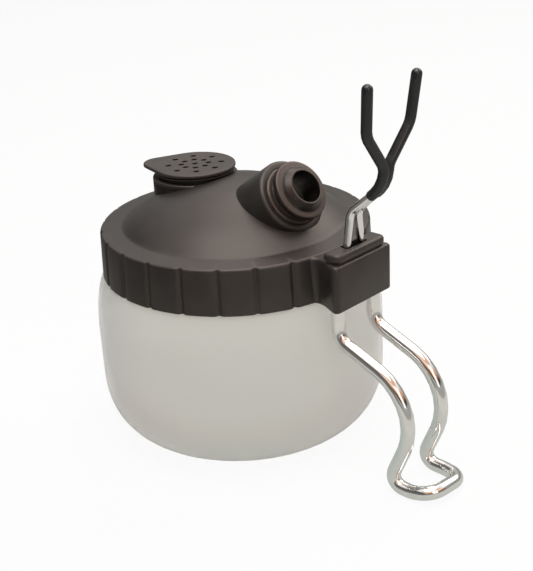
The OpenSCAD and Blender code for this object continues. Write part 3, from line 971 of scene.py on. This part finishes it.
def cap_corners():
    """The disc's arc and the tab's arc, which two tangents join, turned about the vent."""
    tip = tab_reach - tab_tip_r
    lean = math.degrees(math.acos((cap_r - tab_tip_r) / tip))
    around = arc(0, 0, cap_r, 180 - lean, lean - 180, 80)
    around += arc(-tip, 0, tab_tip_r, 180 + lean, 180 - lean, 20)
    cos, sin = math.cos(tab_turn), math.sin(tab_turn)
    return [(vent_x + x * cos - y * sin, x * sin + y * cos, 0) for x, y in around]


# %% Vent cap

plug_in_r = 9.32
plug_r = 10.42
plug_low = -4.8
shelf_r = 12.05
shelf_low = 1.15
shelf_high = 1.55
under_cap_r = 11.02
hole_r = 0.9
hole_rings = ((0.0, 1), (4.12, 8), (8.0, 8))
hole_turn = math.radians(5)


def make_plug():
    corners = [
        (plug_in_r, 1.9), (plug_in_r, plug_low, 0.2), (plug_r, plug_low, 0.4), (plug_r, shelf_low),
        (shelf_r, shelf_low, 0.1), (shelf_r, shelf_high, 0.1), (under_cap_r, shelf_high),
        (under_cap_r, 2.4), (plug_in_r, 2.4)]
    return make_object(place_at_vent(turned(outline(bmesh.new(), corners)), vent_z), "plug")


def hole_tool(ring_r, angle):
    """A pin that widens at the cap's top, to break the hole's edge."""
    over = cap_t + 0.1
    corners = [(0, -2), (hole_r, -2), (hole_r, cap_t - 0.08, 0.1), (hole_r + 0.2, over), (0, over)]
    pin = place_at_vent(turned(outline(bmesh.new(), corners, closed=False), [(2 * math.pi, 20)]), cap_z)
    shift = Vector((ring_r * math.cos(angle), ring_r * math.sin(angle), 0)) * MM
    bmesh.ops.translate(pin, vec=shift, verts=pin.verts)
    return make_object(pin, "hole")


def make_cap():
    disc = prism(cap_corners(), cap_z, cap_z + cap_t)
    soften_rim(disc, cap_z + cap_t, 0.45, segments=4)
    soften_rim(disc, cap_z, 0.3, segments=2)
    cap = make_object(disc, "perforated_cap")
    cut_or_join(cap, make_plug(), "UNION")
    for ring_r, count in hole_rings:
        for i in range(count):
            cut_or_join(cap, hole_tool(ring_r, hole_turn + 2 * math.pi * i / count), "DIFFERENCE")
    return cap


finish(make_cap(), "vent", cap_plastic, ["vent_cap"], sharp=30)

# %% [markdown]
# ## Bent wires
#
# A wire is drawn as its corners and bend radii, as on a bending jig. The chain of edges
# is rounded like any outline, and then a curve with a round bevel follows it. The vinyl
# sleeves follow the fork's path with a radius that swells from the mouth and closes in a
# round bead at the tip.

# %% Paths and tubes


def wire_path(corners):
    """Points along a wire through corners of (x, y, z, bend radius), in metres."""
    bm = bmesh.new()
    points = [Vector(c[:3]) * MM for c in corners]
    rounded_chain(bm, points, [c[3] for c in corners], False)
    ends = [vert for vert in bm.verts if len(vert.link_edges) == 1]
    vert = min(ends, key=lambda end: (end.co - points[0]).length)
    path = [vert.co.copy()]
    edge = None
    while True:
        onward = [link for link in vert.link_edges if link != edge]
        if not onward:
            break
        edge = onward[0]
        vert = edge.other_vert(vert)
        path.append(vert.co.copy())
    bm.free()
    return path


def tube(name, path, radius, scales=None):
    """A tube of a radius in mm along path, in metres, with an optional scale at each point."""
    curve = bpy.data.curves.new(name, "CURVE")
    curve.dimensions = "3D"
    curve.bevel_depth = radius * MM
    curve.bevel_resolution = 6
    curve.use_fill_caps = True
    spline = curve.splines.new("POLY")
    spline.points.add(len(path) - 1)
    for i, co in enumerate(path):
        spline.points[i].co = (*co, 1)
        spline.points[i].radius = scales[i] if scales else 1.0
    source = bpy.data.objects.new(name + "_curve", curve)
    bpy.context.scene.collection.objects.link(source)
    bm = bmesh.new()
    bm.from_mesh(plain_mesh(source))
    bpy.data.objects.remove(source)
    bmesh.ops.remove_doubles(bm, verts=bm.verts, dist=hair)
    bmesh.ops.recalc_face_normals(bm, faces=bm.faces)
    return make_object(bm, name)


# %% [markdown]
# ## Rest loop
#
# One length of thick wire makes the loop: down from the bracket, out in a bow, and round a
# toe on the table. It is bent on pegs, so a round section is swept along one smooth path,
# which gives a tube of even thickness.

# %% Rest loop

loop_r = 2.0
bow_x = leg_x + 23.6
toe_x = leg_x + 31.6
toe_z = loop_r + 1.8
toe_twist = 1.4


def loop_side(side):
    """Corners of one leg, from its socket to the toe, which is bent in and down on the left."""
    y = side * leg_y
    twist = toe_twist if side > 0 else 0.0
    return [
        (leg_x, y, collar_z + 10.3, 0),
        (leg_x, y, collar_z - 9.8, 5),
        (bow_x, y, collar_z - 19.2, 15),
        (bow_x, y, loop_r + 15, 15),
        (bow_x - 6.5, y, loop_r, 3.5),
        (bow_x + 1.5, y, loop_r, 8),
        (toe_x, y - twist, toe_z - twist, 4.5)]


loop_path = wire_path(loop_side(1) + loop_side(-1)[::-1])
loop = tube("rest_loop_wire", loop_path, loop_r)
finish(loop, "lid", chrome, ["rest_loop"], sharp=60)

# %% [markdown]
# ## Fork and its sleeves
#
# The fork is one thin wire folded back on itself, which is why two wires rise side by side
# from the slot before they part into prongs. The vinyl sleeves follow the same path. They
# start as a thin mouth and swell, as dipped vinyl does, and end in a round bead.

# %% Fork

fork_r = 1.15
sleeve_r = 1.475
foot_half = 2.9
knee_half = 1.6
stem_x = fork_x + 11.6
stem_lag = 0.8
stem_half = sleeve_r + 0.08
prong_end = bracket_top + 48.7


def fork_side(side):
    """Corners of one side, from the foot to the prong's end; the left stem stands nearer."""
    near_x = stem_x - (stem_lag if side > 0 else 0)
    return [
        (fork_x, side * foot_half, bracket_top - 7.5, 1.8),
        (fork_x, side * foot_half, bracket_top + 2.5, 8),
        (fork_x + 0.3, side * knee_half, bracket_top + 12, 4),
        (near_x - 0.2, side * stem_half, bracket_top + 21.6, 9),
        (near_x + 0.1, side * stem_half, bracket_top + 26.6, 3.5),
        (stem_x + 0.5, side * 9, bracket_top + 36.4, 5),
        (stem_x + 1.8, side * 10, prong_end, 0)]


fork = tube("fork_bent_wire", wire_path(fork_side(-1)[::-1] + fork_side(1)), fork_r)
finish(fork, "fork", chrome, ["fork_wire"], sharp=60)

# %% Sleeves

mouth_share = 0.61                       # from the knee to the stem's foot
swell = (                                # mm from the mouth, share of the radius
    (0.0, 0.84), (0.15, 0.92), (0.4, 0.98), (0.9, 1.0))


def make_sleeve(name, side):
    corners = fork_side(side)
    knee, stem = [Vector(corner[:3]) for corner in corners[2:4]]
    mouth = knee.lerp(stem, mouth_share)
    path = wire_path([(*mouth, 0)] + corners[3:])
    along = (path[1] - path[0]).normalized()
    start = [path[0] + along * step * MM for step, _ in swell]
    middle = path[1:-1]
    along = (path[-1] - path[-2]).normalized()
    bead = [math.radians(angle) for angle in range(0, 91, 10)]
    tip = [path[-1] + along * sleeve_r * math.sin(angle) * MM for angle in bead]
    scales = [scale for _, scale in swell] + [1.0] * len(middle)
    scales += [max(0.02, math.cos(angle)) for angle in bead]
    return tube(name, start + middle + tip, sleeve_r, scales)


vinyl = dipped_vinyl("vinyl", (prong_end - 0.4) * MM)
finish(make_sleeve("sleeve_left", 1), "fork", vinyl, ["fork_sleeve_left"], sharp=60)
finish(make_sleeve("sleeve_right", -1), "fork", vinyl, ["fork_sleeve_right"], sharp=60)

# %% [markdown]
# ## CAD pieces that keep their shape
#
# The gasket, seal, filter and basket are plain inside pieces, so they keep their CAD
# meshes and only get their finishes.

# %% Inside pieces


def paint(node, material):
    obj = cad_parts[node]
    obj.data.materials.clear()
    obj.data.materials.append(material)
    print("painted", node)


paint("jar_gasket", seal_rubber)
paint("vent_seal", seal_rubber)
paint("filter_basket", cap_plastic)
paint("vent_filter", filter_felt)

# %% [markdown]
# ## Floor, light and camera
#
# The pot stands on a white floor in a white room. Other surfaces are lit by them only
# dimly, so that a large soft lamp above does the modelling: tops are light and sides are
# dark, as on a table under a ceiling light. Reflections see the floor grey, darker away
# from the pot and darkest on the viewer's left, because glossy plastic and chrome need
# something dark to mirror.

# %% Floor

floor_half = 3.0
floor_far = 0.5
viewer_turn = math.radians(46)
camera_share = 0.92
indirect_share = 0.9


def leftward(shader):
    """How far the shaded point lies to the viewer's left of the pot, in metres."""
    return 0 - shader.axis("X") * math.cos(viewer_turn) - shader.axis("Y") * math.sin(viewer_turn)


def make_floor():
    bm = bmesh.new()
    bmesh.ops.create_grid(bm, x_segments=1, y_segments=1, size=floor_half)
    floor = make_object(bm, "floor")
    shader = new_material("floor_white")
    matte = shader.node("ShaderNodeBsdfDiffuse", {}, {"Color": (0.9, 0.9, 0.9, 1)})
    mirrored_ray = shader.ray("Glossy")
    shaded = shader.ramp(shader.length(shader.place()) * (1 / floor_far), [
        (0.10, (0.49, 0.53, 0.49)), (0.22, (0.68, 0.67, 0.61)), (0.40, (0.66, 0.64, 0.59)),
        (0.60, (0.36, 0.35, 0.32)), (1.0, (0.40, 0.36, 0.32))])
    on_left = shader.step(leftward(shader), 0.04, 0.16) * 0.8
    shaded = shader.mix(on_left, shaded, (0.04, 0.04, 0.04))
    tone = shader.mix(mirrored_ray, (1, 1, 1), shaded)
    glow = shader.node("ShaderNodeEmission", {}, {"Color": tone, "Strength": 1.0})
    indirect = (mirrored_ray + shader.ray("Transmission")) * indirect_share
    share = (shader.ray("Camera") * camera_share + indirect).clamped()
    mixed = shader.node("ShaderNodeMixShader", {}, {0: share, 1: matte, 2: glow})
    floor.data.materials.append(shader.end(mixed))


make_floor()
print(f"floor {2 * floor_half:.0f} m across")

# %% World

fill_strength = 0.16


def make_world():
    """White to the camera, reflections and glass, and a dim fill light to all else."""
    world = Shader(bpy.data.worlds.new("white_room"))
    seen = (world.ray("Camera") + world.ray("Transmission") + world.ray("Glossy")).clamped()
    strength = fill_strength + seen * (1 - fill_strength)
    back = world.node("ShaderNodeBackground", {}, {"Color": (1, 1, 1, 1), "Strength": strength})
    bpy.context.scene.world = world.end(back, "ShaderNodeOutputWorld")


make_world()
print("world:", bpy.context.scene.world.name)

# %% [markdown]
# ## Lamps
#
# A broad ceiling light does most of the work, and is kept low enough that pale surfaces
# don't clip. A weak window light opens the bracket's face. Two warm lights behind the pot
# draw the sheen on the dome, and are broad because satin plastic shows a light's shape.

# %% Lamps


def lamp(name, place, aim, size, power, colour=(1, 1, 1)):
    """A soft rectangular lamp at place, in metres, that faces aim, with its power in watts."""
    light = bpy.data.lights.new(name, "AREA")
    light.shape = "RECTANGLE"
    light.size, light.size_y = size
    light.energy = power
    light.color = colour
    obj = bpy.data.objects.new(name, light)
    bpy.context.scene.collection.objects.link(obj)
    obj.location = place
    obj.rotation_euler = (Vector(aim) - Vector(place)).to_track_quat("-Z", "Y").to_euler()
    print(f"{name}: {power} W")


lamp("ceiling", (0.10, -0.12, 0.90), (0, 0, 0.05), (0.7, 0.7), 5.6)
lamp("window", (0.75, -0.25, 0.40), (0, 0, 0.06), (0.4, 0.5), 0.7)
lamp("top_light", (-0.22, 0.42, 0.80), (0, 0, 0.06), (0.45, 0.35), 1.3, (1.0, 0.88, 0.80))
lamp("back_light", (0.10, 0.75, 0.62), (0, 0, 0.06), (0.6, 0.35), 2.0, (1.0, 0.92, 0.86))

# %% [markdown]
# ## The room that reflections see
#
# Chrome has no colour of its own: it is drawn by what stands round it. A studio hangs
# cards and cloth about its set for that. Here a half sphere is painted as such a room:
# grey at the foot, then a dark band, then copper-coloured on the viewer's side and pale
# grey on the far side, with a dark wall on the viewer's left and white above. Only
# reflections see it, so it lights nothing.

# %% Paint for the walls

room_r = 1.3


def wall_paint():
    """Bands by height, as shares of the room's radius, on a near, a far and a left wall."""
    shader = new_material("painted_room")
    folds = shader.noise(90.0)
    height = shader.axis("Z") * (1 / room_r) + folds * 0.10 - 0.05
    near_wall = shader.ramp(height, [
        (0.0, (0.40, 0.42, 0.39)), (0.18, (0.40, 0.41, 0.38)), (0.28, (0.05, 0.03, 0.02)),
        (0.36, (0.12, 0.06, 0.035)), (0.44, (0.70, 0.34, 0.18)), (0.58, (0.86, 0.50, 0.31)),
        (0.63, (1, 0.95, 0.9)), (0.69, (1, 0.95, 0.9)), (0.74, (0.84, 0.47, 0.29)),
        (0.86, (0.90, 0.58, 0.42)), (0.91, (1, 1, 1))])
    far_wall = shader.ramp(height, [
        (0.0, (0.34, 0.36, 0.33)), (0.16, (0.42, 0.44, 0.41)), (0.24, (0.06, 0.06, 0.05)),
        (0.30, (0.45, 0.45, 0.42)), (0.46, (0.55, 0.55, 0.52)), (0.54, (1, 1, 1))])
    left_wall = shader.ramp(height, [
        (0.0, (0.20, 0.20, 0.19)), (0.60, (0.10, 0.09, 0.09)), (0.75, (1, 1, 1))])
    towards = shader.axis("X") * math.sin(viewer_turn) - shader.axis("Y") * math.cos(viewer_turn)
    walls = shader.mix(shader.step(towards, 0.0, 0.2 * room_r), far_wall, near_wall)
    walls = shader.mix(shader.step(leftward(shader), 0.35 * room_r, 0.6 * room_r), walls, left_wall)
    return shader.end(shader.node("ShaderNodeEmission", {}, {"Color": walls, "Strength": 1.0}))


# %% A painted half sphere

room_low = 0.005    # just above the floor


def make_room():
    bm = bmesh.new()
    bmesh.ops.create_uvsphere(bm, u_segments=96, v_segments=48, radius=room_r)
    bmesh.ops.bisect_plane(
        bm, geom=bm.verts[:] + bm.edges[:] + bm.faces[:], plane_co=(0, 0, room_low),
        plane_no=(0, 0, 1), clear_inner=True)
    room = make_object(bm, "painted_room")
    room.data.materials.append(wall_paint())
    for ray in ("camera", "diffuse", "transmission", "volume_scatter", "shadow"):
        setattr(room, f"visible_{ray}", False)


make_room()
print(f"a painted room {2 * room_r:.1f} m across, seen only by reflections")

# %% [markdown]
# ## Camera
#
# The camera looks down at the bracket's side from about a third of a metre, through a
# normal lens, and is rolled by three degrees. It could be turned by hand, but angles say
# where it stands in words that a reader can follow, so its matrix is worked out from them.

# %% Camera

view_azimuth = math.radians(46.02)
view_height = math.radians(23.36)
view_roll = math.radians(-3.09)
view_distance = 341.76
centre_z = 43.5
aim_right = 8.26
aim_up = -1.27
lens_mm = 47.007
sensor_mm = 24.0


def make_camera():
    """A camera that looks a little beside the pot's middle, at aim_right and aim_up from it."""
    away = Vector((
        math.sin(view_azimuth) * math.cos(view_height),
        -math.cos(view_azimuth) * math.cos(view_height),
        math.sin(view_height)))
    level = Vector((math.cos(view_azimuth), math.sin(view_azimuth), 0))
    upward = away.cross(level)
    centre = Vector((0, 0, centre_z))
    eye = centre + away * view_distance
    aim = centre + level * aim_right + upward * aim_up
    back = (eye - aim).normalized()
    right = Vector((0, 0, 1)).cross(back).normalized()
    up = back.cross(right)
    rolled_right = right * math.cos(view_roll) + up * math.sin(view_roll)
    rolled_up = up * math.cos(view_roll) - right * math.sin(view_roll)
    data = bpy.data.cameras.new("camera")
    data.sensor_fit = "VERTICAL"
    data.sensor_height = sensor_mm
    data.lens = lens_mm
    data.clip_start = 0.01
    camera = bpy.data.objects.new("camera", data)
    turn = Matrix((rolled_right, rolled_up, back)).transposed().to_4x4()
    camera.matrix_world = Matrix.Translation(eye * MM) @ turn
    bpy.context.scene.collection.objects.link(camera)
    bpy.context.scene.camera = camera
    print(f"camera {view_distance / 1000:.2f} m away, lens {lens_mm:.0f} mm")


make_camera()
bpy.context.scene.view_settings.view_transform = "Standard"

# %% [markdown] ## End of the scene

# %% End
